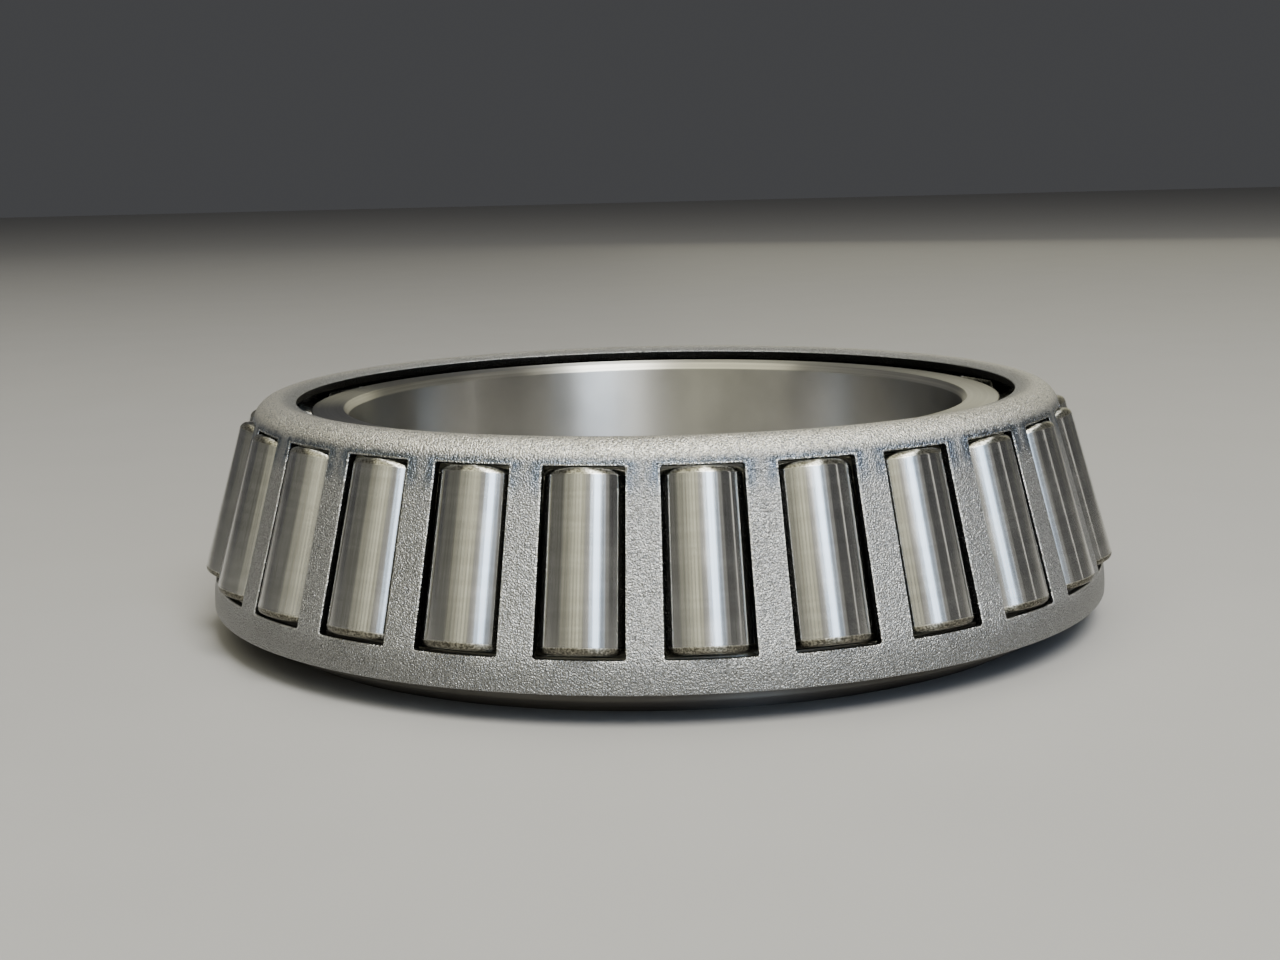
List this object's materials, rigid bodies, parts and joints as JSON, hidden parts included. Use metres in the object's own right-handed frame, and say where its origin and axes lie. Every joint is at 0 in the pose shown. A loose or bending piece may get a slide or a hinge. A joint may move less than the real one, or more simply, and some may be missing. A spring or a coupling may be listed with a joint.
{
  "type": "tapered roller bearing cone assembly",
  "caption": "Cone assembly of a single-row tapered roller bearing: thick inner ring with two ribs, pressed steel cage with windows, and tapered rollers that stand proud of it.",
  "frame": {"origin": "on the bearing's axis, in the plane of the inner ring's back face, on which the assembly stands", "axes": "+Z along the bearing's axis from the large end to the small end; a roller lies at -Y"},
  "size_m": [0.1462, 0.1472, 0.037],
  "materials": {
    "ring_steel": "turned face, honed bore, satin",
    "cage_steel": "pressed sheet, shot blasted, matte",
    "roller_steel": "ground and polished along the roller"
  },
  "bodies": {
    "inner_ring": {"inner_ring": "ring_steel"},
    "cage": {"cage": "cage_steel"},
    "roller_01": {"roller_01": "roller_steel"},
    "roller_02": {"roller_02": "roller_steel"},
    "roller_03": {"roller_03": "roller_steel"},
    "roller_04": {"roller_04": "roller_steel"},
    "roller_05": {"roller_05": "roller_steel"},
    "roller_06": {"roller_06": "roller_steel"},
    "roller_07": {"roller_07": "roller_steel"},
    "roller_08": {"roller_08": "roller_steel"},
    "roller_09": {"roller_09": "roller_steel"},
    "roller_10": {"roller_10": "roller_steel"},
    "roller_11": {"roller_11": "roller_steel"},
    "roller_12": {"roller_12": "roller_steel"},
    "roller_13": {"roller_13": "roller_steel"},
    "roller_14": {"roller_14": "roller_steel"},
    "roller_15": {"roller_15": "roller_steel"},
    "roller_16": {"roller_16": "roller_steel"},
    "roller_17": {"roller_17": "roller_steel"},
    "roller_18": {"roller_18": "roller_steel"},
    "roller_19": {"roller_19": "roller_steel"},
    "roller_20": {"roller_20": "roller_steel"},
    "roller_21": {"roller_21": "roller_steel"},
    "roller_22": {"roller_22": "roller_steel"},
    "roller_23": {"roller_23": "roller_steel"},
    "roller_24": {"roller_24": "roller_steel"},
    "roller_25": {"roller_25": "roller_steel"},
    "roller_26": {"roller_26": "roller_steel"}
  },
  "joints": [
    {"name": "cage_spin", "type": "hinge", "parent": "inner_ring", "child": "cage", "pos_m": [0, 0, 0], "axis": [0, 0, 1], "continuous": true},
    {"name": "roller_01_spin", "type": "hinge", "parent": "cage", "child": "roller_01", "pos_m": [0, -0.06412, 0.02054], "axis": [0, 0.2589, 0.9659], "continuous": true},
    {"name": "roller_02_spin", "type": "hinge", "parent": "cage", "child": "roller_02", "pos_m": [0.01534, -0.06225, 0.02054], "axis": [-0.0619, 0.2513, 0.9659], "continuous": true},
    {"name": "roller_03_spin", "type": "hinge", "parent": "cage", "child": "roller_03", "pos_m": [0.0298, -0.05677, 0.02054], "axis": [-0.1203, 0.2292, 0.9659], "continuous": true},
    {"name": "roller_04_spin", "type": "hinge", "parent": "cage", "child": "roller_04", "pos_m": [0.04252, -0.04799, 0.02054], "axis": [-0.1716, 0.1938, 0.9659], "continuous": true},
    {"name": "roller_05_spin", "type": "hinge", "parent": "cage", "child": "roller_05", "pos_m": [0.05277, -0.03642, 0.02054], "axis": [-0.213, 0.147, 0.9659], "continuous": true},
    {"name": "roller_06_spin", "type": "hinge", "parent": "cage", "child": "roller_06", "pos_m": [0.05995, -0.02274, 0.02054], "axis": [-0.242, 0.0918, 0.9659], "continuous": true},
    {"name": "roller_07_spin", "type": "hinge", "parent": "cage", "child": "roller_07", "pos_m": [0.06365, -0.00773, 0.02054], "axis": [-0.257, 0.0312, 0.9659], "continuous": true},
    {"name": "roller_08_spin", "type": "hinge", "parent": "cage", "child": "roller_08", "pos_m": [0.06365, 0.00773, 0.02054], "axis": [-0.257, -0.0312, 0.9659], "continuous": true},
    {"name": "roller_09_spin", "type": "hinge", "parent": "cage", "child": "roller_09", "pos_m": [0.05995, 0.02274, 0.02054], "axis": [-0.242, -0.0918, 0.9659], "continuous": true},
    {"name": "roller_10_spin", "type": "hinge", "parent": "cage", "child": "roller_10", "pos_m": [0.05277, 0.03642, 0.02054], "axis": [-0.213, -0.147, 0.9659], "continuous": true},
    {"name": "roller_11_spin", "type": "hinge", "parent": "cage", "child": "roller_11", "pos_m": [0.04252, 0.04799, 0.02054], "axis": [-0.1716, -0.1938, 0.9659], "continuous": true},
    {"name": "roller_12_spin", "type": "hinge", "parent": "cage", "child": "roller_12", "pos_m": [0.0298, 0.05677, 0.02054], "axis": [-0.1203, -0.2292, 0.9659], "continuous": true},
    {"name": "roller_13_spin", "type": "hinge", "parent": "cage", "child": "roller_13", "pos_m": [0.01534, 0.06225, 0.02054], "axis": [-0.0619, -0.2513, 0.9659], "continuous": true},
    {"name": "roller_14_spin", "type": "hinge", "parent": "cage", "child": "roller_14", "pos_m": [0, 0.06412, 0.02054], "axis": [0, -0.2589, 0.9659], "continuous": true},
    {"name": "roller_15_spin", "type": "hinge", "parent": "cage", "child": "roller_15", "pos_m": [-0.01534, 0.06225, 0.02054], "axis": [0.0619, -0.2513, 0.9659], "continuous": true},
    {"name": "roller_16_spin", "type": "hinge", "parent": "cage", "child": "roller_16", "pos_m": [-0.0298, 0.05677, 0.02054], "axis": [0.1203, -0.2292, 0.9659], "continuous": true},
    {"name": "roller_17_spin", "type": "hinge", "parent": "cage", "child": "roller_17", "pos_m": [-0.04252, 0.04799, 0.02054], "axis": [0.1716, -0.1938, 0.9659], "continuous": true},
    {"name": "roller_18_spin", "type": "hinge", "parent": "cage", "child": "roller_18", "pos_m": [-0.05277, 0.03642, 0.02054], "axis": [0.213, -0.147, 0.9659], "continuous": true},
    {"name": "roller_19_spin", "type": "hinge", "parent": "cage", "child": "roller_19", "pos_m": [-0.05995, 0.02274, 0.02054], "axis": [0.242, -0.0918, 0.9659], "continuous": true},
    {"name": "roller_20_spin", "type": "hinge", "parent": "cage", "child": "roller_20", "pos_m": [-0.06365, 0.00773, 0.02054], "axis": [0.257, -0.0312, 0.9659], "continuous": true},
    {"name": "roller_21_spin", "type": "hinge", "parent": "cage", "child": "roller_21", "pos_m": [-0.06365, -0.00773, 0.02054], "axis": [0.257, 0.0312, 0.9659], "continuous": true},
    {"name": "roller_22_spin", "type": "hinge", "parent": "cage", "child": "roller_22", "pos_m": [-0.05995, -0.02274, 0.02054], "axis": [0.242, 0.0918, 0.9659], "continuous": true},
    {"name": "roller_23_spin", "type": "hinge", "parent": "cage", "child": "roller_23", "pos_m": [-0.05277, -0.03642, 0.02054], "axis": [0.213, 0.147, 0.9659], "continuous": true},
    {"name": "roller_24_spin", "type": "hinge", "parent": "cage", "child": "roller_24", "pos_m": [-0.04252, -0.04799, 0.02054], "axis": [0.1716, 0.1938, 0.9659], "continuous": true},
    {"name": "roller_25_spin", "type": "hinge", "parent": "cage", "child": "roller_25", "pos_m": [-0.0298, -0.05677, 0.02054], "axis": [0.1203, 0.2292, 0.9659], "continuous": true},
    {"name": "roller_26_spin", "type": "hinge", "parent": "cage", "child": "roller_26", "pos_m": [-0.01534, -0.06225, 0.02054], "axis": [0.0619, 0.2513, 0.9659], "continuous": true}
  ],
  "couplings": [
    {"joint": "roller_01_spin", "follows": "cage_spin", "ratio": 8.9313},
    {"joint": "roller_02_spin", "follows": "cage_spin", "ratio": 8.9313},
    {"joint": "roller_03_spin", "follows": "cage_spin", "ratio": 8.9313},
    {"joint": "roller_04_spin", "follows": "cage_spin", "ratio": 8.9313},
    {"joint": "roller_05_spin", "follows": "cage_spin", "ratio": 8.9313},
    {"joint": "roller_06_spin", "follows": "cage_spin", "ratio": 8.9313},
    {"joint": "roller_07_spin", "follows": "cage_spin", "ratio": 8.9313},
    {"joint": "roller_08_spin", "follows": "cage_spin", "ratio": 8.9313},
    {"joint": "roller_09_spin", "follows": "cage_spin", "ratio": 8.9313},
    {"joint": "roller_10_spin", "follows": "cage_spin", "ratio": 8.9313},
    {"joint": "roller_11_spin", "follows": "cage_spin", "ratio": 8.9313},
    {"joint": "roller_12_spin", "follows": "cage_spin", "ratio": 8.9313},
    {"joint": "roller_13_spin", "follows": "cage_spin", "ratio": 8.9313},
    {"joint": "roller_14_spin", "follows": "cage_spin", "ratio": 8.9313},
    {"joint": "roller_15_spin", "follows": "cage_spin", "ratio": 8.9313},
    {"joint": "roller_16_spin", "follows": "cage_spin", "ratio": 8.9313},
    {"joint": "roller_17_spin", "follows": "cage_spin", "ratio": 8.9313},
    {"joint": "roller_18_spin", "follows": "cage_spin", "ratio": 8.9313},
    {"joint": "roller_19_spin", "follows": "cage_spin", "ratio": 8.9313},
    {"joint": "roller_20_spin", "follows": "cage_spin", "ratio": 8.9313},
    {"joint": "roller_21_spin", "follows": "cage_spin", "ratio": 8.9313},
    {"joint": "roller_22_spin", "follows": "cage_spin", "ratio": 8.9313},
    {"joint": "roller_23_spin", "follows": "cage_spin", "ratio": 8.9313},
    {"joint": "roller_24_spin", "follows": "cage_spin", "ratio": 8.9313},
    {"joint": "roller_25_spin", "follows": "cage_spin", "ratio": 8.9313},
    {"joint": "roller_26_spin", "follows": "cage_spin", "ratio": 8.9313}
  ]
}
